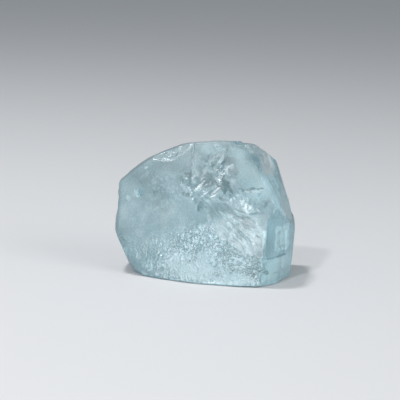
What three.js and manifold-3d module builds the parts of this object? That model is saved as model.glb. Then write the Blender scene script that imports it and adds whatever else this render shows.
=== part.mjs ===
// A stout piece of a pale blue topaz crystal, standing on its basal cleavage.
// Millimetres, +Z up. The front faces -Y and the long side runs along X.
// A block is cut back face by face, stepped along its growth lines and ledges, given the
// relief of its etched and broken skin, and then chipped as glassy topaz chips, in ripples.
import * as THREE from 'three';
import { ImprovedNoise } from 'three/addons/math/ImprovedNoise.js';
import { mergeVertices } from 'three/addons/utils/BufferGeometryUtils.js';
import Module from 'manifold-3d';

const wasm = await Module();
wasm.setup();

// ---- Driving dimensions ----

const LEFT = -17.9; // furthest point of the left end
const RIGHT = 17.9; // of the right end, half way up
const FRONT = -9; // foot of the front
const BACK = 12; // of the back
const TOP = 27.7; // of the crest above the base

// What each kind of skin is like: how far its long swells and its short grain stand off the
// flat face. Growth and cleavage faces are true planes.
const SKINS = {
  growth: { swell: 0, grain: 0 },
  cleavage: { swell: 0, grain: 0 },
  etched: { swell: 0.24, grain: 0.16 },
  fracture: { swell: 0.4, grain: 0.22 },
};
const GRAIN_SIZES = [1.9, 0.86]; // typical widths of the lumps of the grain
// The long swells: a wave across the stone that dips as it goes back and up, and a slanting one.
const SWELL = {
  across: 0.52,
  start: 0.9,
  up: 0.41,
  back: -0.35,
  slantUp: 0.83,
  slantAcross: 0.47,
  slantStart: 2.1,
  slantShare: 0.6,
};
const LONGEST_EDGE = 1.9; // of the triangles that carry the relief

// Faces. heading is the compass heading of the outward normal, 0 to the right (+X) and -90 to
// the front; rise is its tilt above level; through is a point that the face passes through.
const FACES = {
  base: { heading: 0, rise: -90, through: [0, 0, 0], skin: 'cleavage' },
  prismFront: { heading: -45, rise: 0, through: [11.5, -8.8, 0], skin: 'growth' },
  rightPrism: { heading: -28, rise: 0, through: [14.4, -6, 0], skin: 'growth' },
  rightBack: { heading: 2, rise: -4.5, through: [RIGHT, 6, 6], skin: 'growth' },
  frontRight: { heading: -91, rise: 6, through: [6, FRONT, 0], skin: 'etched' },
  frontLeft: { heading: -109, rise: 10, through: [-4, -6.9, 0], skin: 'etched' },
  frontUpper: { heading: -99, rise: 26, through: [0, -7.4, 14], skin: 'fracture' },
  frontUpperRight: { heading: -78, rise: 24, through: [11.6, -6, 17.6], skin: 'fracture' },
  rightBevel: { heading: -27, rise: 33, through: [12.2, -5.2, 19.2], skin: 'growth' },
  rightWedge: { heading: -12, rise: 18, through: [14.5, -5.8, 16.2], skin: 'growth' },
  upperRight: { heading: 0, rise: 20, through: [16.3, 0, 16.4], skin: 'growth' },
  left: { heading: 181, rise: 2, through: [LEFT, 0, 9], skin: 'fracture' },
  lowerLeft: { heading: 188, rise: -25, through: [-16.1, -2, 4.6], skin: 'fracture' },
  lowerLeftFront: { heading: 226, rise: -14, through: [-12.8, -3.4, 0.5], skin: 'fracture' },
  leftToe: { heading: 222, rise: -34, through: [-15.2, -1.4, 2.5], skin: 'fracture' },
  upperLeft: { heading: 182, rise: 50, through: [-16.7, 0, 18.7], skin: 'fracture' },
  upperLeftTop: { heading: 168, rise: 66, through: [-9.2, 0, 24.3], skin: 'fracture' },
  topLeft: { heading: 115, rise: 78, through: [-2.2, -0.5, 27.2], skin: 'fracture' },
  top: { heading: 75, rise: 79, through: [3.4, -0.5, TOP], skin: 'cleavage' },
  topRight: { heading: 0, rise: 55, through: [12, 0, 25.3], skin: 'fracture' },
  backLeft: { heading: 124, rise: 6, through: [-13.2, 8, 8], skin: 'growth' },
  back: { heading: 86, rise: 2, through: [2, BACK, 6], skin: 'growth' },
  backUpper: { heading: 80, rise: 36, through: [2, 8.8, 20], skin: 'fracture' },
};

// Ledges: shallow steps cut flat into a face. along and up are the span of the step on the face,
// measured from the face's point, sideways and up its slope; depth is how far it is set back.
const WHOLE = [-60, 60]; // right across the face
const LEDGES = [
  { face: 'prismFront', along: [1.3, 60], up: [5.4, 13.6], depth: 0.3 }, // under the arch
  { face: 'rightPrism', along: [0.7, 4.5], up: [5.3, 10.4], depth: 0.4 }, // side of a hillock
  { face: 'rightPrism', along: [4, 60], up: WHOLE, depth: 0.14 },
  { face: 'rightPrism', along: [2.2, 60], up: [-60, 2.6], depth: 0.3 },
  { face: 'upperRight', along: [6, 60], up: WHOLE, depth: 0.35 },
  { face: 'frontUpper', along: [-8.5, -2.9], up: [8.5, 60], depth: 0.28 }, // by the crown chip
  { face: 'top', along: [-60, -2.6], up: WHOLE, depth: 0.3 },
  { face: 'top', along: [1.6, 60], up: WHOLE, depth: 0.15 },
  { face: 'topLeft', along: [2.6, 60], up: WHOLE, depth: 0.25 },
];

// Striations: the steps that run up the prism faces as they grew, each from one place sideways
// on the face to the next.
const STRIATIONS = [
  { face: 'rightBack', from: -5, to: 6, count: 5 },
  { face: 'back', from: -14, to: 13, count: 11 },
  { face: 'backLeft', from: -9, to: 9, count: 8 },
];
// Their depths, their widths as shares of their pitch, and how far they stray from it.
const STRIATION = { shallowest: 0.08, deepest: 0.3, narrowest: 0.35, widest: 0.95, stray: 0.5 };
const CLEARANCE = 3; // how far a cutter stands out of the skin

// Conchoidal chips: dishes that open towards heading and rise. Each is struck where a line that
// starts at from, inside the crystal, leaves it that way. radius is taken at the level of that
// point, and depth is below it. The ripples spread from a blow at the rim, on the side blow.
const CHIPS = [
  { from: [-7, 2.1, 20.9], heading: -118, rise: 56, radius: 4.3, depth: 1, blow: 60 },
  { from: [-12, 0, 16], heading: -140, rise: 15, radius: 0.7, depth: 0.2, blow: 100 },
  { from: [5.9, 1.5, 24], heading: -85, rise: 60, radius: 1.1, depth: 0.4, blow: 90 },
  { from: [9.5, 2, 20], heading: -27, rise: 41, radius: 2.2, depth: 0.3, blow: 120 },
  { from: [-12, 0, 6], heading: 195, rise: -12, radius: 3, depth: 1, blow: -100 },
  { from: [10, -6, 1.4], heading: -52, rise: 5, radius: 1.1, depth: 0.4, blow: -90 },
  { from: [14, 3, 13], heading: 8, rise: 12, radius: 2.2, depth: 0.55, blow: 80 },
  { from: [-9, 6, 17], heading: 132, rise: 40, radius: 4.8, depth: 1.7, blow: 110 },
  { from: [3, 8, 18], heading: 84, rise: 24, radius: 4.2, depth: 1.3, blow: 70 },
  { from: [11, 7, 5], heading: 50, rise: -14, radius: 3.6, depth: 1.4, blow: -80 },
  { from: [-11, 6, 3], heading: 160, rise: -32, radius: 3, depth: 1, blow: -100 },
];
const RIPPLE = { height: 0.06, spacing: 1.7 };
const DISH_STEP = 0.72; // size of the facets of a chip
const DISH_REACH = 1.5; // how far a dish runs on past its radius
const CALM = { reach: 1.2, rise: 2 }; // clean skin round a chip in radii, and then its rise

// Etch pits of the lower front: small four-sided funnels, in rows that drift across the face.
const PITS = { columns: 9, rows: 4, from: [-12, 1.8], pitch: [2.9, 2.2], drift: 0.7, scatter: 2.6 };
const PIT = { narrowest: 0.75, widest: 2.25, depth: 0.36, apex: 1.44, across: 0.8, up: 0.5 };

// Hackles: a fan of shallow flutes that opens down and to the right from one blow on the front.
const HACKLES = { from: [0.5, 14.8], first: -22, last: -62, count: 8, start: 2.2 };
const FLUTE = { shortest: 4.5, longest: 8.3, width: 1, depth: 0.4 };

// ---- Geometry helpers ----

const UP = new THREE.Vector3(0, 0, 1);
const BIG = 90; // larger than the crystal every way
const TOUCH = 1e-3; // nearness that counts as on a face

const { degToRad: radians, lerp } = THREE.MathUtils;

function direction({ heading, rise }) {
  const level = Math.cos(radians(rise));
  return new THREE.Vector3(
    Math.cos(radians(heading)) * level,
    Math.sin(radians(heading)) * level,
    Math.sin(radians(rise)),
  );
}

// A repeatable number from 0 to 1 for each index.
function chance(index) {
  const value = Math.sin(index * 12.9898 + 4.1414) * 43758.5453;
  return value - Math.floor(value);
}

function repeat(count, make) {
  return Array.from({ length: count }, (_, index) => make(index));
}

function positionsOnly(geometry) {
  geometry.deleteAttribute('normal');
  geometry.deleteAttribute('uv');
  return mergeVertices(geometry, 1e-4);
}

function toSolid(geometry) {
  const merged = positionsOnly(geometry);
  return new wasm.Manifold(new wasm.Mesh({
    numProp: 3,
    vertProperties: new Float32Array(merged.attributes.position.array),
    triVerts: new Uint32Array(merged.index.array),
  }));
}

function toGeometry(solid) {
  const mesh = solid.getMesh();
  const geometry = new THREE.BufferGeometry();
  geometry.setAttribute('position', new THREE.BufferAttribute(mesh.vertProperties, 3));
  geometry.setIndex(new THREE.BufferAttribute(mesh.triVerts, 1));
  return geometry;
}

// The faces with their planes, ready to be asked which of them a point lies on.
const PLANES = Object.values(FACES).map((face) => ({
  face,
  plane: new THREE.Plane().setFromNormalAndCoplanarPoint(
    direction(face),
    new THREE.Vector3(...face.through),
  ),
}));

// Where a line from an inner point leaves the stone, and the way its skin faces there.
function strike(stone, from, way) {
  const outside = new THREE.Vector3(...from).addScaledVector(way, BIG);
  const ray = new THREE.Raycaster(outside, way.clone().negate());
  const [{ point, face }] = ray.intersectObject(stone);
  return { point, normal: face.normal };
}

// The frame at a point with z along out, and x level.
function frameAt(point, out) {
  const along = new THREE.Vector3().crossVectors(UP, out).normalize();
  if (along.lengthSq() < 0.5) along.set(1, 0, 0);
  const upSlope = new THREE.Vector3().crossVectors(out, along);
  return new THREE.Matrix4().makeBasis(along, upSlope, out).setPosition(point);
}

// A box in a face's frame, from low to high.
function boxOnFace(face, low, high) {
  const size = high.map((value, axis) => value - low[axis]);
  const box = new THREE.BoxGeometry(...size);
  box.translate(...low.map((value, axis) => value + size[axis] / 2));
  const origin = new THREE.Vector3(...face.through);
  return toSolid(box.applyMatrix4(frameAt(origin, direction(face))));
}

// ---- The cuts ----

function beyondFace(face) {
  return boxOnFace(face, [-BIG, -BIG, 0], [BIG, BIG, BIG]);
}

function ledge({ face, along, up, depth }) {
  return boxOnFace(FACES[face], [along[0], up[0], -depth], [along[1], up[1], CLEARANCE]);
}

// The steps of one striated face. Their widths and depths vary from one to the next.
function striations({ face, from, to, count }) {
  const pitch = (to - from) / count;
  return repeat(count, (index) => {
    const start = from + pitch * (index + STRIATION.stray * chance(index));
    const width = pitch * lerp(STRIATION.narrowest, STRIATION.widest, chance(index + 20));
    const depth = lerp(STRIATION.shallowest, STRIATION.deepest, chance(index + 40));
    return ledge({ face, along: [start, start + width], up: WHOLE, depth });
  });
}

// A shallow dish about +Z, closed by a lid above, with ripples round the blow at its rim.
function chip({ point, out, radius, depth, blow }) {
  const rim = radius * DISH_REACH;
  const steps = Math.ceil(rim / DISH_STEP);
  const profile = repeat(steps + 1, (step) => {
    const r = (rim * step) / steps;
    return new THREE.Vector2(r, depth * ((r / radius) ** 2 - 1));
  });
  profile.push(new THREE.Vector2(0, CLEARANCE + depth));
  const segments = Math.round((2 * Math.PI * radius) / DISH_STEP);
  const dish = positionsOnly(new THREE.LatheGeometry(profile, segments).rotateX(Math.PI / 2));
  const { position } = dish.attributes;
  const blowX = radius * Math.cos(radians(blow));
  const blowY = radius * Math.sin(radians(blow));
  for (let index = 0; index < position.count; index += 1) {
    const away = Math.hypot(position.getX(index) - blowX, position.getY(index) - blowY);
    const ripple = RIPPLE.height * Math.cos((2 * Math.PI * away) / RIPPLE.spacing);
    position.setZ(index, position.getZ(index) + ripple);
  }
  return toSolid(dish.applyMatrix4(frameAt(point, out)));
}

// A chip with the point where it is struck and the way it opens.
function struck(stone, scar) {
  const out = direction(scar);
  return { ...scar, out, point: strike(stone, scar.from, out).point };
}

// The frame of the front skin at x and z.
function frontFrame(stone, x, z) {
  const { point, normal } = strike(stone, [x, 0, z], new THREE.Vector3(0, -1, 0));
  return frameAt(point, normal);
}

function etchPit(stone, index) {
  const { columns, from, pitch, drift, scatter } = PITS;
  const column = index % columns;
  const row = Math.floor(index / columns);
  const x = from[0] + column * pitch[0] + row * drift + scatter * (chance(index) - 0.5);
  const z = from[1] + row * pitch[1] + scatter * (chance(index + 50) - 0.5);
  const width = lerp(PIT.narrowest, PIT.widest, chance(index + 100));
  const funnel = new THREE.ConeGeometry(width, PIT.apex, 4).rotateX(-Math.PI / 2);
  funnel.rotateZ(Math.PI / 4).scale(PIT.across, PIT.up, 1).translate(0, 0, PIT.depth);
  return toSolid(funnel.applyMatrix4(frontFrame(stone, x, z)));
}

// A flute is a long spindle, sunk by half into the skin.
function hackle(stone, index) {
  const { from, first, last, count, start } = HACKLES;
  const turn = radians(first + ((last - first) * index) / (count - 1));
  const length = lerp(FLUTE.shortest, FLUTE.longest, chance(index + 7));
  const flute = new THREE.OctahedronGeometry(1).scale(length / 2, FLUTE.width / 2, FLUTE.depth);
  const middle = start + length / 2;
  const x = from[0] + middle * Math.cos(turn);
  const z = from[1] + middle * Math.sin(turn);
  return toSolid(flute.rotateZ(turn).applyMatrix4(frontFrame(stone, x, z)));
}

// ---- The relief of the etched and broken faces ----

const noise = new ImprovedNoise();

function swellAt({ x, y, z }) {
  const wave = Math.sin(SWELL.across * x + SWELL.start) * Math.cos(SWELL.up * z + SWELL.back * y);
  const slanting = Math.sin(SWELL.slantUp * z + SWELL.slantAcross * x + SWELL.slantStart);
  return wave + SWELL.slantShare * slanting;
}

function grainAt({ x, y, z }) {
  return GRAIN_SIZES.reduce((sum, size) => sum + noise.noise(x / size, y / size, z / size), 0);
}

function skinsAt(point) {
  return PLANES.filter(({ plane }) => Math.abs(plane.distanceToPoint(point)) < TOUCH)
    .map(({ face }) => SKINS[face.skin]);
}

// A triangle of the skin is rough where all its corners share an etched or broken face.
function isRough(corners) {
  return PLANES.some(({ face, plane }) => SKINS[face.skin].swell > 0
    && corners.every((corner) => Math.abs(plane.distanceToPoint(corner)) < TOUCH));
}

// The solid's triangles. Each has its corners and, for the edge that leaves each corner,
// whether a rough triangle lies on either side of it.
function listTriangles(geometry) {
  const { position } = geometry.attributes;
  const index = geometry.index.array;
  const roughEdges = new Set();
  const triangles = [];
  for (let start = 0; start < index.length; start += 3) {
    const names = [index[start], index[start + 1], index[start + 2]];
    const corners = names.map((name) => new THREE.Vector3().fromBufferAttribute(position, name));
    const rough = isRough(corners);
    const edges = names.map((name, side) => [name, names[(side + 1) % 3]].sort().join());
    if (rough) edges.forEach((edge) => roughEdges.add(edge));
    triangles.push({ corners, rough, edges });
  }
  return triangles.map(({ corners, rough, edges }) => ({
    corners,
    rough,
    split: edges.map((edge) => roughEdges.has(edge)),
  }));
}

// Halves the longest edge of the rough triangles until none is over LONGEST_EDGE. A still
// triangle is halved only along the edges that it shares with a rough one.
function refine(geometry) {
  const waiting = listTriangles(geometry);
  const corners = [];
  while (waiting.length > 0) {
    const triangle = waiting.pop();
    const lengths = triangle.corners.map((corner, side) => (
      triangle.split[side] ? corner.distanceTo(triangle.corners[(side + 1) % 3]) : 0
    ));
    const side = lengths.indexOf(Math.max(...lengths));
    if (lengths[side] <= LONGEST_EDGE) {
      corners.push(...triangle.corners);
      continue;
    }
    const [a, b, c] = [side, (side + 1) % 3, (side + 2) % 3];
    const [cornerA, cornerB, cornerC] = [a, b, c].map((name) => triangle.corners[name]);
    const middle = cornerA.clone().lerp(cornerB, 0.5);
    const { rough, split } = triangle;
    waiting.push(
      { corners: [cornerA, middle, cornerC], rough, split: [true, rough, split[c]] },
      { corners: [middle, cornerB, cornerC], rough, split: [true, split[b], rough] },
    );
  }
  return positionsOnly(new THREE.BufferGeometry().setFromPoints(corners));
}

// 0 inside a chip, where the break is clean, rising to 1 away from it.
function calmAt(point, scars) {
  const calms = scars.map((scar) => (
    point.distanceTo(scar.point) / scar.radius - CALM.reach
  ));
  return THREE.MathUtils.clamp(Math.min(...calms) * CALM.rise, 0, 1);
}

function addRelief(geometry, scars) {
  const fine = refine(geometry);
  fine.computeVertexNormals();
  const { position, normal } = fine.attributes;
  for (let index = 0; index < position.count; index += 1) {
    const point = new THREE.Vector3().fromBufferAttribute(position, index);
    const out = new THREE.Vector3().fromBufferAttribute(normal, index);
    const skins = skinsAt(point);
    const swell = Math.min(...skins.map((skin) => skin.swell));
    const grain = Math.min(...skins.map((skin) => skin.grain));
    if (skins.length === 0) continue;
    const relief = swell * swellAt(point) + grain * grainAt(point);
    point.addScaledVector(out, relief * calmAt(point, scars));
    position.setXYZ(index, point.x, point.y, point.z);
  }
  return fine;
}

// ---- The crystal ----

function crystal() {
  let solid = toSolid(new THREE.BoxGeometry(BIG, BIG, BIG));
  for (const face of Object.values(FACES)) solid = solid.subtract(beyondFace(face));
  const steps = [...LEDGES.map(ledge), ...STRIATIONS.flatMap(striations)];
  for (const step of steps) solid = solid.subtract(step);
  const flat = new THREE.Mesh(toGeometry(solid));
  const scars = CHIPS.map((scar) => struck(flat, scar));
  const stone = new THREE.Mesh(addRelief(flat.geometry, scars));
  solid = toSolid(stone.geometry.clone());
  const cuts = [
    ...scars.map(chip),
    ...repeat(PITS.columns * PITS.rows, (index) => etchPit(stone, index)),
    ...repeat(HACKLES.count, (index) => hackle(stone, index)),
  ];
  for (const cut of cuts) solid = solid.subtract(cut);
  return toGeometry(solid);
}

const geometry = crystal();
geometry.computeBoundingBox();
const { min, max } = geometry.boundingBox;
geometry.translate(-(min.x + max.x) / 2, -(min.y + max.y) / 2, -min.z);

const topaz = new THREE.MeshStandardMaterial({
  name: 'topaz',
  color: 0x9fbcc4,
  roughness: 0.3,
  metalness: 0,
  flatShading: true,
});
const body = new THREE.Mesh(geometry, topaz);
body.name = 'topaz_crystal';

const group = new THREE.Group();
group.add(body);
export default group;
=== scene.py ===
"""A pale blue topaz crystal: the finished look of the one solid topaz_crystal.

The stone is worked out as a distance field from its named faces, in millimetres: every face
has its own skin (growth steps, cleavage terraces, etched grain or fracture), chips are dished
into it, and the zero surface becomes the mesh.
"""
import math
from collections import namedtuple
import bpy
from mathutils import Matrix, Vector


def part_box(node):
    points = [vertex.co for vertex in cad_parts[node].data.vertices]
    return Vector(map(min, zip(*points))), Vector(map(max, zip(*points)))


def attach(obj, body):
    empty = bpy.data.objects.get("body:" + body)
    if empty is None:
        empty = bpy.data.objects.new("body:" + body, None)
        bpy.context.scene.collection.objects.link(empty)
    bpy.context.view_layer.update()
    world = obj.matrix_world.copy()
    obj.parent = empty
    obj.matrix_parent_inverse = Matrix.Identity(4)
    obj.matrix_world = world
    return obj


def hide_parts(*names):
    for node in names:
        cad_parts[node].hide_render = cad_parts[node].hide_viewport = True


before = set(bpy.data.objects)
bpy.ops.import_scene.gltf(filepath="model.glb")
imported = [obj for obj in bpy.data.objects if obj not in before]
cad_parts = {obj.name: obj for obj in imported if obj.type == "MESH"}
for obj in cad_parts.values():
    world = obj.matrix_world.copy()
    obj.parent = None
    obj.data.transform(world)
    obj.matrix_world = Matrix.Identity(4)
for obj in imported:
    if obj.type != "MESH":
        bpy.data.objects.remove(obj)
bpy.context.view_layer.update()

from types import SimpleNamespace as Values

import bpy
import numpy as np
import openvdb
from mathutils import Quaternion, Vector

NODE = "topaz_crystal"
MM = 0.001

# ---- The stone's faces, as in the solid (millimetres and degrees) ----

# edge is the radius over which a face runs into those listed before it.
FACES = {
    "front_left": dict(heading=-109, rise=10, through=(-4, -6.9, 0), skin="front", edge=1),
    "front_right": dict(heading=-91, rise=6, through=(6, -9, 0), skin="front", edge=1.6),
    "front_upper": dict(heading=-99, rise=26, through=(0, -7.4, 14), skin="front", edge=1.6),
    "front_upper_right": dict(
        heading=-78, rise=24, through=(11.6, -6, 17.6), skin="front", edge=1.2),
    "left": dict(heading=181, rise=2, through=(-17.9, 0, 9), skin="fracture", edge=0.7),
    "lower_left": dict(heading=188, rise=-25, through=(-16.1, -2, 4.6), skin="fracture", edge=0.6),
    "lower_left_front": dict(
        heading=226, rise=-14, through=(-12.8, -3.4, 0.5), skin="fracture", edge=0.9),
    "left_toe": dict(heading=222, rise=-34, through=(-15.2, -1.4, 2.5), skin="fracture", edge=0.9),
    "upper_left": dict(heading=182, rise=50, through=(-16.7, 0, 18.7), skin="fracture", edge=0.7),
    "upper_left_top": dict(
        heading=168, rise=66, through=(-9.2, 0, 24.3), skin="fracture", edge=0.7),
    "top_left": dict(heading=115, rise=78, through=(-2.2, -0.5, 27.2), skin="fracture", edge=0.8),
    "top": dict(heading=75, rise=79, through=(3.4, -0.5, 27.7), skin="cleavage", edge=0.8),
    "top_right": dict(heading=0, rise=55, through=(12, 0, 25.3), skin="fracture", edge=0.8),
    "right_bevel": dict(heading=-27, rise=33, through=(12.2, -5.2, 19.2), skin="growth", edge=1.2),
    "right_wedge": dict(heading=-12, rise=18, through=(14.5, -5.8, 16.2), skin="growth", edge=0.2),
    "upper_right": dict(heading=0, rise=20, through=(16.3, 0, 16.4), skin="growth", edge=0.2),
    "prism_front": dict(heading=-45, rise=0, through=(11.5, -8.8, 0), skin="growth", edge=0.2),
    "right_prism": dict(heading=-28, rise=0, through=(14.4, -6, 0), skin="growth", edge=0.15),
    "right_back": dict(heading=2, rise=-4.5, through=(17.9, 6, 6), skin="growth", edge=0.15),
    "back_left": dict(heading=124, rise=6, through=(-13.2, 8, 8), skin="growth", edge=0.15),
    "back": dict(heading=86, rise=2, through=(2, 12, 6), skin="growth", edge=0.15),
    "back_upper": dict(heading=80, rise=36, through=(2, 8.8, 20), skin="fracture", edge=0.5),
    "base": dict(heading=0, rise=-90, through=(0, 0, 0), skin="cleavage", edge=0.2),
}

TOPS = ("upper_left", "upper_left_top", "top_left", "top", "top_right")
GLASSY = ("growth", "cleavage")  # skins

# Ledges: (face, along from and to, up from and to, depth, length over which its foot fades in).
FAR = 60  # past every edge of a face
ACROSS = (-FAR, FAR)
SHARP = 0.25
LEDGES = [
    ("prism_front", (1.3, FAR), (5.4, 13.6), 0.3, SHARP),
    ("right_prism", (0.7, 4.5), (5.3, 10.4), 0.4, SHARP),
    ("right_prism", (4, FAR), ACROSS, 0.14, SHARP),
    ("right_prism", (2.2, FAR), (-FAR, 2.6), 0.3, SHARP),
    ("right_prism", (1.3, 4.3), (6.1, 7.1), -0.16, SHARP),
    ("upper_right", (6, FAR), ACROSS, 0.35, SHARP),
    ("front_upper", (-8.5, -3.6), (9.5, FAR), 0.28, 4),
    ("top", (-FAR, -2.6), ACROSS, 0.3, SHARP),
    ("top", (1.6, FAR), ACROSS, 0.15, SHARP),
    ("top_left", (2.6, FAR), ACROSS, 0.25, SHARP),
]

# Conchoidal chips: (from, heading, rise, radius, depth, side of the blow), where the solid has
# them. The first is the crown chip, the largest on view.
CHIPS = [
    ((-7, 2.1, 20.9), -118, 56, 4.3, 1, 60),
    ((-12, 0, 16), -140, 15, 0.55, 0.16, 100),
    ((5.9, 1.5, 24), -85, 60, 1.1, 0.4, 90),
    ((9.5, 2, 20), -27, 41, 2.2, 0.3, 120),
    ((-12, 0, 6), 195, -12, 3, 1, -100),
    ((10, -6, 1.4), -52, 5, 1.1, 0.4, -90),
    ((14, 3, 13), 8, 12, 2.2, 0.55, 80),
    ((-9, 6, 17), 132, 40, 4.8, 1.7, 110),
    ((3, 8, 18), 84, 24, 4.2, 1.3, 70),
    ((11, 7, 5), 50, -14, 3.6, 1.4, -80),
    ((-11, 6, 3), 160, -32, 3, 1, -100),
]

# ---- What lies where on the front ----

# The upper edge of the frosted skin, and how far it blurs, both by x.
FROST_LINE = ((-18, 8.6), (-12.7, 8.4), (-8.3, 9.4), (-4.7, 10.6), (-1.7, 12.2), (0.9, 12.4),
              (3.1, 9.8), (6.4, 7.6), (10.6, 6.4), (18, 6))
FROST_BLUR = ((-18, 4.5), (-4, 3), (3, 1.2))

# Spots are slanted ovals, seen from the front: (x, z, slant, half length, half width, strength).

# Broken patches.
SHARDS = [
    (2.8, 21.4, 58, 1.7, 1.3, 1.0),
    (2.0, 24.8, 50, 2.2, 1.4, 0.5),
    (2.0, 21.2, 52, 4.0, 3.4, 0.6),
    (-1.4, 17.6, -42, 4.4, 2.4, 0.75),
    (3.4, 17.4, -40, 4.2, 2.8, 0.7),
    (9.3, 16.2, 10, 3.0, 2.1, 0.62),
    (9.6, 26.2, -12, 3.2, 0.8, 0.6),
    (11.6, 25.0, -35, 2.4, 0.9, 0.5),
]
FAN = (5.8, 12, -38, 6.3, 3.1, 1)  # of hackles
FAN_FROM = (-2.2, 18)  # x and z of the blow that it spreads from
# Painted glints: where the etched skin is lit with the most white specks.
GLITTER = (-0.6, 10.2, 25, 4.2, 2.4, 0.85)  # where the etched skin glitters most
CLOUD = (-8.6, 17.4, 10, 5.2, 3.4, 0.15)  # of fine inclusions
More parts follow.
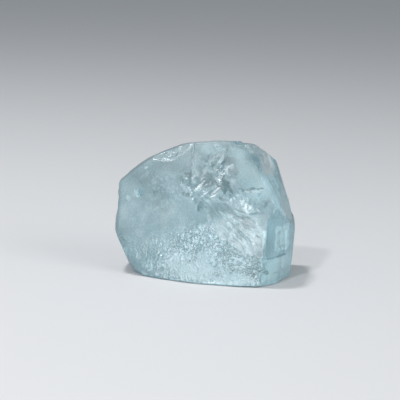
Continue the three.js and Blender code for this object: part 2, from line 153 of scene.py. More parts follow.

# Flaws, veils and painted light and shade by place. Their strength is light above 0 and dark below
# 0.
MARKS = {
    "broken_middle_flash_and_streaks": [
        # The first five are a painted flash of light off the broken middle; the rest are light
        # streaks.
        (2.1, 20.8, 62, 0.6, 0.1, 1.3),
        (2.6, 21.3, 58, 1.0, 0.16, 2.0),
        (3.0, 21.2, 60, 0.6, 0.1, 1.4),
        (3.5, 21.6, 60, 1.0, 0.14, 1.8),
        (3.9, 21.6, 58, 0.6, 0.1, 1.3),
        (2.3, 20.3, -20, 0.8, 0.15, 0.9),
        (4.4, 22.7, 42, 1.1, 0.17, 0.9),
        (2.4, 25.3, 40, 1.5, 0.25, 0.6),
        (1.4, 24.2, 50, 1.3, 0.3, 0.35),
        (0.1, 16.3, -42, 1.8, 0.14, 0.7),
        (-0.4, 15.6, -42, 1.6, 0.12, 0.5),
        (0.7, 16.9, -42, 1.6, 0.14, 0.5),
        (5.7, 17.0, 20, 0.9, 0.5, 0.4),
        (-1.0, 20.0, 10, 1.6, 1.4, 0.15),
        (-0.3, 21.7, 60, 0.9, 0.4, 0.4),
        (-2.5, 20.4, 90, 2.2, 0.5, 0.35),
    ],
    "broken_middle_flaws": [
        (2.1, 24.6, 48, 1.2, 0.25, -0.3),
        (1.3, 23.3, 60, 0.5, 0.35, -2.6),
        (3.3, 23.5, 20, 0.5, 0.35, -1.3),
        (2.4, 19.2, -42, 1.0, 0.2, -1.2),
        (3.2, 18.4, -50, 1.3, 0.2, -1.0),
        (3.4, 19.7, -30, 0.8, 0.3, -0.9),
        (4.4, 19.6, -70, 0.8, 0.25, -0.8),
        (4.2, 18.7, -60, 1.6, 0.8, -0.6),
        (3.9, 19.9, 20, 0.9, 0.35, -0.8),
        (3.1, 16.7, -40, 0.5, 0.35, -2.2),
        (-1.4, 14.6, -60, 0.5, 0.35, -1.6),
        (-3.9, 17.0, -8, 1.0, 0.4, -0.8),
        (-0.2, 14.9, -20, 1.7, 1.1, -0.3),
        (2.9, 15.3, 0, 1.5, 1.0, -0.25),
    ],
    "level_crack": [
        (7.9, 18.85, 0, 1.7, 0.13, -1.5),
        (10.2, 19.0, -4, 1.6, 0.13, -1.5),
        (10.1, 18.5, 5, 1.0, 0.25, 1.5),
        (8.8, 18.5, 0, 0.5, 0.3, -0.5),
    ],
    "below_the_crack": [
        (8.6, 16.4, -20, 3.2, 1.7, 0.3),
        (7.4, 17.2, 78, 1.3, 0.2, 0.5),
        (8.1, 16.6, 84, 1.7, 0.22, 0.5),
        (8.9, 16.2, 72, 1.4, 0.2, 0.4),
        (9.8, 15.6, 40, 1.2, 0.3, 0.3),
        (11.0, 17.6, 45, 1.0, 0.2, 0.5),
        (12.0, 16.3, 50, 0.8, 0.25, -0.5),
        (8.4, 14.8, 60, 1.3, 0.3, 0.5),
    ],
    "upper_right": [
        (7.6, 22.4, -56, 3.4, 1.5, 0.2),
        (10.2, 20.6, -60, 2.6, 0.5, 0.35),
        (12.0, 22.8, -60, 2.3, 1.2, 1.1),
        (10.6, 25.3, -28, 3.0, 1.0, 0.6),
        # painted highlight along the right crease, with a darker band beside it
        (13.6, 18.4, -58, 5.0, 1.4, 0.45),
        (15.6, 14.6, -54, 3.2, 0.55, 1.0),
        (16.9, 15.0, -60, 2.0, 0.4, -0.3),
    ],
    "fan": [
        (3.1, 11.5, -45, 2.7, 0.4, 0.35),
        (3.9, 13.3, -46, 2.0, 0.3, 0.35),
        (7.9, 13.4, -45, 1.1, 0.5, -0.35),
        (7.2, 10.9, -45, 2.0, 0.5, 0.3),
        (6.6, 10.0, -55, 1.6, 0.12, -0.5),
        (6.4, 9.4, -42, 2.0, 0.2, 0.6),
        (10.6, 11.6, -60, 1.4, 0.3, 0.7),
        (9.6, 8.7, 0, 0.3, 0.25, 1.0),
    ],
    # painted glints and highlights on the crown chip's facets
    "crown": [
        (-10.1, 23.6, 40, 0.8, 0.4, 1.2),
        (-8.6, 23.4, 10, 0.7, 0.3, 0.6),
        (-6.3, 24.4, 60, 1.0, 0.25, 1.3),
        (-5.1, 25.2, 40, 0.8, 0.16, 1.0),
        (-4.2, 25.9, 30, 1.0, 0.7, 0.6),
    ],
    # painted highlight and shadow of the upright ledge: a light line beside a dark one
    "upright_ledge_highlight_and_shadow": [
        (-2.85, 24.0, 90, 2.8, 0.1, 0.7),
        (-3.15, 24.0, 90, 2.8, 0.1, -0.6),
    ],
    "left": [
        (-14.0, 12.8, 20, 3.2, 2.0, 0.25),
        (-8.6, 9.4, 15, 3.4, 1.6, -0.14),
        (-6.4, 16.6, 10, 4.6, 3.4, -0.2),
        (-6.0, 20.2, 30, 3.0, 2.0, -0.1),
        (-6.4, 17.4, 60, 0.9, 0.2, 0.3),
        (-9.0, 14.0, 20, 1.4, 0.25, 0.35),
        (-9.9, 16.7, 0, 0.5, 0.3, -0.5),
        (-11.0, 13.4, -30, 1.2, 0.25, 0.3),
        (-11.9, 20.3, 60, 0.9, 0.3, 0.4),
        (-12.2, 21.4, 30, 0.4, 0.3, 0.9),
        (-13.0, 19.4, 50, 1.0, 0.22, 0.4),
        # painted highlight: the crescent at the small left chip
        (-14.0, 16.1, -50, 0.7, 0.25, 1.5),
        (-15.4, 15.0, 80, 0.6, 0.3, 0.4),
        (-15.6, 15.2, 70, 0.5, 0.25, 0.8),
    ],
    # painted glow along the base, and painted shade on the right of the frost above it
    "foot": [
        (-5.6, 3.8, 30, 2.6, 1.3, 0.5),
        (-2.5, 2.6, 30, 2.6, 1.2, 0.35),
        (-1.2, 2.4, 4, 3.4, 1.6, 0.4),
        (-0.4, 2.0, 4, 6.0, 1.4, 0.35),
        (0.4, 5.2, 50, 2.4, 1.4, 0.6),
        (5.6, 1.0, 0, 3.6, 0.7, 0.9),
        (7.0, 1.6, 0, 2.2, 0.8, 0.3),
        (7.8, 5.0, -10, 4.4, 2.6, -0.3),
        (10.4, 3.4, 0, 2.0, 1.5, -0.3),
    ],
    "prism": [
        (12.9, 10.5, 90, 5.2, 0.8, -0.12),
        (12.3, 2.7, -20, 0.8, 0.3, -0.7),
        (14.4, 2.4, 0, 0.8, 0.25, -0.5),
    ],
}

# Pale stains.
STAINS = [
    (11.9, 22.9, -60, 2.0, 1.0, 0.9),
    (10.2, 25.6, -22, 3.2, 0.8, 0.4),
    (-0.3, 21.7, 60, 1.0, 0.4, 0.3),
    (8.6, 18.5, 0, 0.8, 0.4, 0.4),
]

# Clear teal sheets, lighter: partly the teal of glassy faces, partly painted light where the right
# faces catch it.
SHEETS = [
    (9.0, 20.6, -56, 4.6, 2.2, 0.4),
    (3.0, 25.6, -4, 5.0, 1.1, 0.4),
    (14.0, 18.0, -58, 6.0, 1.6, 0.4),
    (16.2, 14.8, -60, 3.4, 1.3, 0.8),
    (15.0, 20.0, -64, 4.6, 0.9, 0.5),
    (13.0, 3.6, 0, 3.0, 2.4, 0.4),
]

# Clear teal blocks of the right prism face, lighter in part as painted light on its block, bar and
# foot: (x span, z span, strength).
PANELS = [
    ((14.0, 16.9), (6.7, 11.6), 0.9),
    ((14.6, 16.6), (6.2, 7.1), 0.9),
    ((11.4, 12.0), (7.6, 11.2), 0.8),
    ((11.4, 18.0), (-1.0, 5.3), 0.5),
]

# ---- The skins: how wide and long their forms are, how high they stand, and how light ----

# The long swells: a wave across the stone that dips as it goes back and up, and a slanting one.
SWELL = Values(
    across=0.52, start=0.9, up=0.41, back=-0.35,
    slant_up=0.83, slant_across=0.47, slant_start=2.1, slant_share=0.6,
)

# Growth faces: (width, length, height, levels that the form is rounded to).
GROWTH_FORMS = [
    (1.7, math.inf, 0.05, None),  # broad strips
    (0.9, math.inf, 0.055, 2.5),  # steps
    (0.42, 7, 0.025, None),  # fine lines
    (6, 3.2, 0.05, 1.5),  # level breaks
]
GROWTH_SINK = 0.06
TERRACES = Values(width=5, length=3.2, levels=3, height=0.12, sink=0.02)
FRACTURE = Values(swell=0.13, size=2.6, height=0.2, sink=0.11)
FRONT = Values(
    swell=0.17, size=2.4, height=0.05,
    frost_sink=0.06, broken_sink=0.18,
    fan_share=0.7,  # of the frost that the fan clears away
    back=7, fade=3,  # how far back its marks reach, and how they end there
)
FROST = Values(
    pit_width=0.4, pit_length=0.46, pit_tilt=0.8, pit_height=0.12,
    grain_width=0.3, grain_length=0.34, grain_height=0.05,
    line_width=0.55, line_length=6, line_height=0.03,
    # bright: the pits lit white as painted glints
    bright=1.9, bright_from=0.5, bright_over=0.2,  # pits, by their number
    dark=0.5, dark_from=0.6, dark_over=0.3,
    grain_light=0.6,
    edge_size=2.5, edge_stray=0.7,
)
HACKLES = Values(
    reach=3.2, turn=4.2, height=0.16,
    fine_reach=1.3, fine_turn=1.7, fine_height=0.09,
)
SPLINTERS = Values(
    rising=52, rising_length=1.9, rising_width=0.6,
    falling=-42, falling_length=2.1, falling_width=0.55,
    patch=3.1, middle=20, by_height=0.12, lean_from=0.1, lean_over=0.35,  # which way they lean
    height=0.12,
    facet_length=1.8, facet_width=1.1, facet_tilt=1.1, facet_height=0.2, facet_light=0.5,
    chip_width=0.6, chip_length=0.5, chip_tilt=0.9, chip_height=0.05, chip_light=0.3,
)
HACKLE_SHADE, SPLINTER_SHADE = 0.78, 0.45  # how far the broken skins are darkened
DARKEST_BROKEN = -0.5
RAMP = Values(
    rise=0.8, drop=0.2, wander=0.9, wander_length=2, even=0.55, uneven=0.45,
    apart=9.1, light_apart=17.3, light_length=1.3,  # so that no two strips are alike
)
FACET_SCATTER = 0.4

# Chips: how far the dish and the calm skin round it reach, in radii, and the ripples.
DISH_REACH = 1.7
CALM = Values(reach=1.1, rise=2.5)
RIPPLES = Values(height=0.06, spacing=1.7, fine_height=0.03, fine_spacing=0.8)
SPOKES = Values(height=0.1, per_turn=5, length=5)
CHIP_EDGE = 0.08
CROWN_FACETS = Values(width=1.9, length=1.5, tilt=1.3, height=0.38, sink=0.08, light=0.7)
CROWN_SKIN = Values(reach=1.4, fade=1, edge=0.12)
CLEAR_EDGE = Values(start=-0.1, face=0.3, chip=0.15)
SPOT_EDGE = 0.9

# How light the skin is, by place: above 0 is whiter than the body, and below 0 is darker. Much of
# it is painted light and shade: glints, a glow at the base, the crown chip and the top faces.
VEILS = Values(light=0.32, size=4)
# Painted glints on the frosted skin: how even, how big their patches, more at the base and fewer
# on the right.
GLINTS = Values(
    even=0.5, uneven=0.5, size=3, at_base=0.9,
    right=5, right_fade=6, less_on_right=0.4,
)
FROST_LIGHT = Values(
    shade=0.42, patch=0.3, patch_width=3.4, patch_height=2.2,
    # a painted glow along the base, and how high it reaches
    at_base=0.5, base_height=3.6, base_fade=5, darkest=-0.1,
)
CLOUD_SHADE = 0.3
MARK_GRAIN = Values(light=0.4, size=0.4)
# A painted highlight on the top faces.
CREST = Values(light=0.45, start=-0.4, fade=0.6)
PANE_EDGE = Values(across=0.2, up=0.25)
PANE_LINES = Values(light=0.3, length=3, width=0.4)

GRID = 0.31  # spacing of the distance field, halved again on the front
LOW = np.array((-19.2, -10.8, -0.9))  # corners of that grid, round the whole stone
HIGH = np.array((19.5, 14.1, 29))
DEEPEST = 1.3  # of the relief: only faces this near the skin are worked out
BAND = 3 * GRID  # how far from the skin the distance counts
ROUNDS = 3  # of pulling the mesh onto the skin
LONGEST_PULL = 0.2  # in one round
FORWARD = np.array((0.2, -0.95, 0.2))
FORWARD_LEAST = 0.25  # how far forward a quad that is halved faces
TINY = 1e-6
LEAST_LENGTH = 1e-9  # of a normal

# ---- Colours, finish and studio ----

BODY_DARK = (0.32, 0.47, 0.52, 1)
BODY_LIGHT = (0.445, 0.56, 0.595, 1)
CLEAR = (0.405, 0.665, 0.735, 1)
# The next two are the whites that the tone lightens towards, the second on frost and clear faces:
# real veils, and painted glints, highlights and glow.
VEIL_AND_HIGHLIGHT = (0.75, 0.895, 0.93, 1)
SHEEN = (0.75, 0.945, 1, 1)
# Lighter clear teal of the panes and sheets, partly painted light.
PANE = (0.68, 0.95, 0.99, 1)
# The dark that the tone darkens towards: real flaws, and painted shade.
FLAW_AND_SHADE = (0.13, 0.22, 0.24, 1)
STAIN = (0.96, 1, 0.99, 1)
CLEAR_SHARE = 0.6  # of each colour where its zone is full
VEIL_AND_HIGHLIGHT_SHARE = 0.95
STAIN_SHARE = 0.75
BODY_PATCH = 5  # mm, as are the other sizes
# frosted: the stronger speckle on frosted skin, painted sparkle
SPECKLE = Values(size=0.2, strength=2.0, frosted=4.5, darkest=-0.15)
GRAIN = Values(cell=0.45, lump=0.35, height=0.3, strength=0.1, frosted=0.45)
BODY_ROUGHNESS = 0.45
FROST_ROUGHNESS = 0.2
BROKEN_ROUGHNESS = 0.25
CLEAR_ROUGHNESS = 0.19
IOR = 1.62
TRANSMISSION = 0.68  # the rest is the haze of veils and frost
ABSORBED = (0.5, 0.73, 0.78, 1)
ABSORPTION = 60  # per metre

FLOOR_COLOUR = (0.68, 0.68, 0.695, 1)
FLOOR_ROUGHNESS = 0.8
FLOOR_GAP = 0.1 * MM
# Lamps: (name, place, width and height, power), in metres and watts.
LAMPS = [
    ("key", (-0.15, -0.25, 0.3), (0.025, 0.025), 0.42),
    ("right", (0.4, -0.25, 0.24), (0.3, 0.3), 0.8),
    ("low", (-0.05, -0.4, 0.02), (0.2, 0.04), 1.44),
    ("top", (-0.12, 0.03, 0.4), (0.05, 0.05), 0.77),
]
LIT = Vector((0, 0, 13 * MM))  # where the lamps point
SKY = (0.88, 0.955, 1, 1)
SKY_STRENGTH = 0.355
BOUNCES = 16

AIM_HEIGHT = 13.8 * MM  # of the point that the camera faces
ELEVATION = 12  # of the camera, in degrees
ROLL = 2.1
DISTANCE = 0.3
LENS, SENSOR = 135, 36
SHIFT = (-0.01375, 0.0175)  # as shares of the frame's width


# ---- Small helpers ----

def direction(heading, rise):
    heading, rise = math.radians(heading), math.radians(rise)
    return np.array((
        math.cos(heading) * math.cos(rise),
        math.sin(heading) * math.cos(rise),
        math.sin(rise),
    ))


def face_axes(heading, rise):
    """The frame of a face: level along it, up its slope, and out of it."""
    out = direction(heading, rise)
    along = np.cross((0, 0, 1), out)
    length = np.linalg.norm(along)
    along = along / length if length > TINY else np.array((1.0, 0, 0))
    return along, np.cross(out, along), out


def step(edge, width, value):
    """0 below edge and 1 above it, rising smoothly over width."""
    t = np.clip((value - edge) / width + 0.5, 0, 1)
    return t * t * (3 - 2 * t)


def within(span, width, value):
    return step(span[0], width, value) * (1 - step(span[1], width, value))


def less_on_left(x, edge, width, least):
    """least on the far left of the stone, rising to 1 over width."""
    return least + (1 - least) * step(edge, width, x)


def smooth_max(a, b, radius):
    overlap = np.maximum(radius - np.abs(a - b), 0)
    return np.maximum(a, b) + overlap * overlap / (4 * radius)


def rounded(value, levels):
    return np.round(levels * value) / levels


def lattice(cells, seed):
    """A repeatable number from -1 to 1 for each row of whole numbers, by an integer hash."""
    h = np.full(cells[0].shape, seed * 3266489917 % 2**32, np.uint32)
    for cell, prime in zip(cells, (374761393, 668265263, 2246822519)):
        h += cell.astype(np.int32).view(np.uint32) * np.uint32(prime)
        h ^= h >> np.uint32(15)
        h *= np.uint32(2654435769)
    h ^= h >> np.uint32(13)
    return h / 2.0**31 - 1


def noise(axes, seed, size=1):
    """Smooth noise from -1 to 1, with lumps about size wide, over two or three axes."""
    axes = [axis / size for axis in axes]
    cells = [np.floor(axis) for axis in axes]
    parts = [axis - cell for axis, cell in zip(axes, cells)]
    parts = [f * f * f * (f * (f * 6 - 15) + 10) for f in parts]
    total = 0
    for corner in np.ndindex(*[2] * len(axes)):
        weight = 1
        for part, side in zip(parts, corner):
            weight = weight * (part if side else 1 - part)
        total = total + weight * lattice([c + s for c, s in zip(cells, corner)], seed)
    return total


def fractal(axes, octaves, seed, size=1):
    """Noise with finer and weaker noise added, octave by octave."""
    total, strength = 0, 1
    for octave in range(octaves):
        finer = [axis / size * 2**octave for axis in axes]
        total = total + strength * noise(finer, seed + octave)
        strength *= 0.5
    return total


def facets(u, v, seed, tilt):
    """Dishes one unit wide, each with its own tilt, that meet in ridges: height and a number."""
    cell_u, cell_v = np.floor(u), np.floor(v)
    lowest = np.full(u.shape, np.inf)
    number = np.zeros(u.shape)
    for corner in np.ndindex(3, 3):
        cells = cell_u + corner[0] - 1, cell_v + corner[1] - 1
        chances = [lattice(cells, seed + index) for index in range(5)]
        du = u - cells[0] - 0.5 - FACET_SCATTER * chances[0]
        dv = v - cells[1] - 0.5 - FACET_SCATTER * chances[1]
        dish = du * du + dv * dv + tilt * (chances[2] * du + chances[3] * dv)
        number = np.where(dish < lowest, chances[4], number)
        lowest = np.minimum(lowest, dish)
    return lowest, number


def ramps(s, t, seed):
    """Strips one unit wide that slope up to a sharp drop: height and a number along each."""
    phase = t + RAMP.wander * noise((s, t / RAMP.wander_length), seed)
    strip = np.floor(phase)
    part = phase - strip
    level = strip * 0
    height = np.minimum(part / RAMP.rise, (1 - part) / RAMP.drop)
    strength = RAMP.even + RAMP.uneven * noise((s + RAMP.apart * strip, level), seed + 1)
    number = noise((RAMP.light_length * s + RAMP.light_apart * strip, level), seed + 2)
    return height * strength, number


def turned(x, z, degrees):
    """x and z measured along a slanted line and square to it."""
    turn = math.radians(degrees)
    return x * math.cos(turn) + z * math.sin(turn), z * math.cos(turn) - x * math.sin(turn)


# ---- The chips' frames ----

Chip = namedtuple("Chip", "point along up out radius depth blow")


def leave(start, out):
    """Where a line from an inner point leaves the stone's flat faces."""
    reaches = []
    for face in FACES.values():
        normal = direction(face["heading"], face["rise"])
        if np.dot(normal, out) > TINY:
            gap = np.dot(normal, np.subtract(face["through"], start))
            reaches.append(gap / np.dot(normal, out))
    return np.asarray(start) + min(reaches) * out


CHIP_FRAMES = [
    Chip(leave(start, direction(heading, rise)), *face_axes(heading, rise), radius, depth, blow)
    for start, heading, rise, radius, depth, blow in CHIPS
]
CROWN = CHIP_FRAMES[0]


# ---- Zones ----

def blot(x, z, spot):
    """The strength of a spot inside it and 0 outside, with a soft edge."""
    spot_x, spot_z, slant, length, width, strength = spot
    s, t = turned(x - spot_x, z - spot_z, slant)
    return strength * (1 - step(1, SPOT_EDGE, (s / length) ** 2 + (t / width) ** 2))


def strongest(x, z, spots):
    return np.max([blot(x, z, spot) for spot in spots], axis=0)


def front_side(p):
    """1 on the front and 0 behind."""
    return 1 - step(FRONT.back, FRONT.fade, p[:, 1])


def ragged(p, size, reach, seed):
    """x and z, shifted here and there by up to about reach."""
    x, z = p[:, 0], p[:, 2]
    return (
        x + reach * fractal((x, z), octaves=2, seed=seed, size=size),
        z + reach * fractal((x, z), octaves=2, seed=seed + 2, size=size),
    )


def frost_zone(p):
    x, z = p[:, 0], p[:, 2]
    stray = FROST.edge_stray * fractal((x, z), octaves=2, seed=41, size=FROST.edge_size)
    line = np.interp(x, *zip(*FROST_LINE)) + stray
    blur = np.interp(x, *zip(*FROST_BLUR))
    return 1 - step(line - blur / 3, blur, z)


def fan_axes(x, z):
    """Distance from the fan's blow, and the turn round it in degrees."""
    x, z = x - FAN_FROM[0], z - FAN_FROM[1]
    return np.hypot(x, z), np.degrees(np.arctan2(z, x))


def fan_zone(p):
    return blot(*ragged(p, size=1.4, reach=0.5, seed=43), FAN) * front_side(p)


def shard_zone(p):
    return strongest(*ragged(p, size=1.5, reach=0.6, seed=47), SHARDS) * front_side(p)


def calm(p):
    """0 on and round a chip, where the break is clean, and 1 away from it."""
    nearest = np.min([
        np.linalg.norm(p - chip.point, axis=1) / chip.radius for chip in CHIP_FRAMES
    ], axis=0)
    return np.clip((nearest - CALM.reach) * CALM.rise, 0, 1)


def in_reach(p, chip):
    """Which points its dish can reach."""
    return np.linalg.norm(p - chip.point, axis=1) < DISH_REACH * chip.radius


def crown_zone(p):
    """The skin of the crown chip."""
    away = np.linalg.norm(p - CROWN.point, axis=1)
    near = 1 - step(CROWN_SKIN.reach * CROWN.radius, CROWN_SKIN.fade, away)
    return near * step(-CROWN_SKIN.edge, CROWN_SKIN.edge, chip_distance(p, CROWN))


def clear_zone(p):
    """The glassy skins: growth and cleavage faces, and chips."""
    glassy, dull = [], []
    for face, flat in zip(FACES.values(), flat_distances(p)):
        (glassy if face["skin"] in GLASSY else dull).append(flat)
    above = np.max(glassy, axis=0) - np.max(dull, axis=0)
    clear = step(CLEAR_EDGE.start, CLEAR_EDGE.face, above)
    for chip in CHIP_FRAMES[1:]:
        near = in_reach(p, chip)
        dish = step(CLEAR_EDGE.start, CLEAR_EDGE.chip, chip_distance(p[near], chip))
        clear[near] = np.maximum(clear[near], dish)
    return clear


# ---- The skins ----

def swell(p):
    x, y, z = p.T
    level = np.sin(SWELL.across * x + SWELL.start) * np.cos(SWELL.up * z + SWELL.back * y)
    slanting = np.sin(SWELL.slant_up * z + SWELL.slant_across * x + SWELL.slant_start)
    return level + SWELL.slant_share * slanting


def growth_relief(along, up, seed):
    """Striations: strips of many widths, each a little step, with a few level breaks."""
    relief = 0
    for number, (width, length, height, levels) in enumerate(GROWTH_FORMS):
        form = noise((along / width, up / length), seed + number)
        relief = relief + height * (rounded(form, levels) if levels else form)
    return relief - GROWTH_SINK


def cleavage_relief(along, up, seed):
    """Terraces with ragged edges, all a little below the highest."""
    form = fractal((along / TERRACES.width, up / TERRACES.length), octaves=3, seed=seed)
    return np.minimum(0, TERRACES.height * rounded(form, TERRACES.levels) - TERRACES.sink)


def fracture_relief(p, seed):
    rough = fractal(p.T, octaves=4, seed=seed, size=FRACTURE.size)
    return FRACTURE.swell * swell(p) + FRACTURE.height * rough - FRACTURE.sink


def frost_skin(p):
    """Etch pits, grain and faint upright lines: height, and a tone that lights some pits white as
    painted glints and darkens others.
    """
    form = FROST
    x, y, z = p.T
    pits, number = facets(x / form.pit_width, z / form.pit_length, seed=53, tilt=form.pit_tilt)
    grain_axes = (x / form.grain_width, y / form.grain_width, z / form.grain_length)
    grain = noise(grain_axes, seed=57)
    lines = noise((x / form.line_width, z / form.line_length), seed=58)
    height = form.pit_height * pits + form.grain_height * grain + form.line_height * lines
    tone = form.bright * step(form.bright_from, form.bright_over, number)
    tone = tone - form.dark * step(form.dark_from, form.dark_over, -number)
    return height, tone + form.grain_light * grain


def fan_skin(x, z):
    """Hackles that spread from one blow: height and tone."""
    reach, turn = fan_axes(x, z)
    coarse, light = ramps(reach / HACKLES.reach, turn / HACKLES.turn, seed=61)
    fine, gleam = ramps(reach / HACKLES.fine_reach, turn / HACKLES.fine_turn, seed=65)
    height = HACKLES.height * coarse + HACKLES.fine_height * fine
    return height, np.maximum(light + gleam - HACKLE_SHADE, DARKEST_BROKEN)


def shard_skin(x, z):
    """Splinters that lean two ways, patch by patch, over broad and small facets: height, tone."""
    form = SPLINTERS
    s, t = turned(x, z, form.rising)
    rising, light = ramps(s / form.rising_length, t / form.rising_width, seed=71)
    broad, number = facets(
        s / form.facet_length, t / form.facet_width, seed=81, tilt=form.facet_tilt)
    s, t = turned(x, z, form.falling)
    falling, gleam = ramps(s / form.falling_length, t / form.falling_width, seed=75)
    small, glint = facets(
        x / form.chip_width, z / form.chip_length, seed=87, tilt=form.chip_tilt)
    leaning = noise((x, z), seed=79, size=form.patch) + form.by_height * (form.middle - z)
    lean = step(form.lean_from, form.lean_over, leaning)
    height = form.height * (rising + lean * (falling - rising))
    height = height + form.facet_height * broad + form.chip_height * small
    tone = light + lean * (gleam - light) + form.facet_light * number + form.chip_light * glint
    return height, np.maximum(tone - SPLINTER_SHADE, DARKEST_BROKEN)


def front_relief(p):
    """The front: smooth and rolling, etched to frost below, broken at the middle and right."""
    x, y, z = p.T
    frost, fan, shard = frost_zone(p), fan_zone(p), shard_zone(p)
    shard = shard * (1 - fan)
    frost = frost * (1 - FRONT.fan_share * fan)
    rolling = fractal((x, z), octaves=2, seed=51, size=FRONT.size)
    smooth = FRONT.swell * swell(p) + FRONT.height * rolling
    etched = frost * (frost_skin(p)[0] - FRONT.frost_sink)
    return (
        smooth
        + etched * less_on_left(x, edge=-9, width=8, least=0.5)
        + fan * (fan_skin(x, z)[0] - FRONT.broken_sink)
        + shard * (shard_skin(x, z)[0] - FRONT.broken_sink)
    )


def skin_distance(p, name, seed):
    """How far outside the finished skin of one face the points lie."""
    face = FACES[name]
    along_axis, up_axis, out = face_axes(face["heading"], face["rise"])
    local = p - np.array(face["through"], float)
    along, up = local @ along_axis, local @ up_axis
    distance = local @ out
    if face["skin"] == "growth":
        distance = distance - growth_relief(along, up, seed)
    elif face["skin"] == "cleavage":
        distance = distance - cleavage_relief(along, up, seed)
    elif face["skin"] == "front":
        distance = distance - front_relief(p) * calm(p)
    else:
        distance = distance - fracture_relief(p, seed) * calm(p)
    for ledge_face, span, rise, depth, fade in LEDGES:
        if ledge_face == name:
            foot = step(rise[0], fade, up) * (1 - step(rise[1], SHARP, up))
            distance = distance + depth * within(span, SHARP, along) * foot
    return distance


def wave(away, spacing, start=0):
    return np.cos(2 * math.pi * away / spacing + start)


def crown_facets(u, v):
    """The broad facets of the crown chip: height and a number."""
    form = CROWN_FACETS
    return facets(u / form.width, v / form.length, seed=11, tilt=form.tilt)


def chip_distance(p, chip):
    """How far out of a chip's dish the points lie."""
    local = p - chip.point
    u, v, h = local @ chip.along, local @ chip.up, local @ chip.out
    blow = math.radians(chip.blow)
    away_u, away_v = u - chip.radius * math.cos(blow), v - chip.radius * math.sin(blow)
    away = np.hypot(away_u, away_v)
    ripple = RIPPLES.height * wave(away, RIPPLES.spacing)
    ripple = ripple + RIPPLES.fine_height * wave(away, RIPPLES.fine_spacing, start=1)
    turn = np.arctan2(away_v, away_u)
    spokes = SPOKES.height * noise((turn * SPOKES.per_turn, away / SPOKES.length), seed=3)
    bowl = chip.depth * ((u * u + v * v) / chip.radius**2 - 1) + ripple + spokes
    if chip is CROWN:
        bowl = bowl + CROWN_FACETS.height * crown_facets(u, v)[0] - CROWN_FACETS.sink
    return (h - bowl) / np.sqrt(1 + 4 * chip.depth**2 * (u * u + v * v) / chip.radius**4)


def flat_distances(p):
    """How far outside each flat face the points lie."""
    return [
        (p - np.array(face["through"], float)) @ direction(face["heading"], face["rise"])
        for face in FACES.values()
    ]


def stone_distance(p):
    """How far outside the finished skin of the stone the points lie."""
    flats = flat_distances(p)
    highest = np.max(flats, axis=0)
    distance = None
    for number, (name, flat) in enumerate(zip(FACES, flats)):
        near = flat > highest - DEEPEST - FACES[name]["edge"]
        flat[near] = skin_distance(p[near], name, 10 * number)
        distance = flat if distance is None else smooth_max(distance, flat, FACES[name]["edge"])
    for chip in CHIP_FRAMES:
        near = in_reach(p, chip)
        distance[near] = smooth_max(distance[near], chip_distance(p[near], chip), CHIP_EDGE)
    return distance


# ---- The mesh ----

def contour():
    """The skin's vertices and quads, found roughly on a grid."""
    counts = np.ceil((HIGH - LOW) / GRID).astype(int)
    axes = [LOW[a] + GRID * np.arange(counts[a]) for a in range(3)]
    p = np.stack(np.meshgrid(*axes, indexing="ij"), axis=-1).reshape(-1, 3)
    field = np.max(flat_distances(p), axis=0)
    near = (field > -DEEPEST - 2 * BAND) & (field < DEEPEST)
    field[near] = stone_distance(p[near])
    field = np.clip(field, -BAND, BAND)
    grid = openvdb.FloatGrid()
    grid.background = BAND
    grid.copyFromArray(field.reshape(counts).astype(np.float32))
    points, quads = grid.convertToQuads()
    return points * GRID + LOW, quads


def normals_of(points, quads):
    across = np.cross(
        points[quads[:, 2]] - points[quads[:, 0]], points[quads[:, 3]] - points[quads[:, 1]]
    )
    normals = np.zeros_like(points)
    for corner in range(4):
        np.add.at(normals, quads[:, corner], across)
    return normals / np.maximum(np.linalg.norm(normals, axis=1, keepdims=True), LEAST_LENGTH)


def refine_front(points, quads):
    """Halves the quads of the front both ways. Those beside them become fans round a middle."""
    middles = points[quads].mean(axis=1)
    normals = normals_of(points, quads)[quads].mean(axis=1)
    fine = normals @ FORWARD > FORWARD_LEAST
    sides = np.stack([quads, np.roll(quads, -1, axis=1)], axis=-1)
    keys = np.sort(sides, axis=-1).reshape(-1, 2)
    names = keys[:, 0].astype(np.int64) * len(points) + keys[:, 1]
    unique, first, inverse = np.unique(names, return_index=True, return_inverse=True)
    inverse = inverse.reshape(quads.shape)
    split = np.zeros(len(unique), bool)
    split[inverse[fine]] = True
    number = np.cumsum(split) - 1 + len(points)
    edge_middles = points[keys[first]].mean(axis=1)[split]
    touched = split[inverse].any(axis=1)
    centre = np.cumsum(touched) - 1 + len(points) + split.sum()
    new_points = np.concatenate((points, edge_middles, middles[touched]))
    faces = quads[~touched].tolist()
    cut = number[inverse[fine]]
    for corner in range(4):
        ring = (quads[fine][:, corner], cut[:, corner], centre[fine], cut[:, corner - 1])
        faces += np.stack(ring, axis=1).tolist()
    for quad in np.flatnonzero(touched & ~fine):
        ring = []
        for corner in range(4):
            ring.append(int(quads[quad, corner]))
            if split[inverse[quad, corner]]:
                ring.append(int(number[inverse[quad, corner]]))
        faces += [(a, b, int(centre[quad])) for a, b in zip(ring, ring[1:] + ring[:1])]
    return new_points, faces


# ---- What the material needs to know of each point ----

def frost_tone(p, frost):
    """Painted glints on pits over soft patches, and a painted glow at the base: most at the base
    and the middle, least on the left.
    """
    form = FROST_LIGHT
    x, z = p[:, 0], p[:, 2]
    near_base = 1 - step(form.base_height, form.base_fade, z)
    uneven = GLINTS.uneven * noise((x, z), seed=93, size=GLINTS.size)
    glints = GLINTS.even + uneven + blot(x, z, GLITTER) + GLINTS.at_base * near_base
    glints = glints * (1 - GLINTS.less_on_right * step(GLINTS.right, GLINTS.right_fade, x))
    patches = fractal((x / form.patch_width, z / form.patch_height), octaves=3, seed=294)
    soft = form.patch * patches + form.at_base * near_base - form.shade
    tone = frost * (glints * frost_skin(p)[1] + soft)
    return np.maximum(tone * less_on_left(x, edge=-9.5, width=12, least=0), form.darkest)


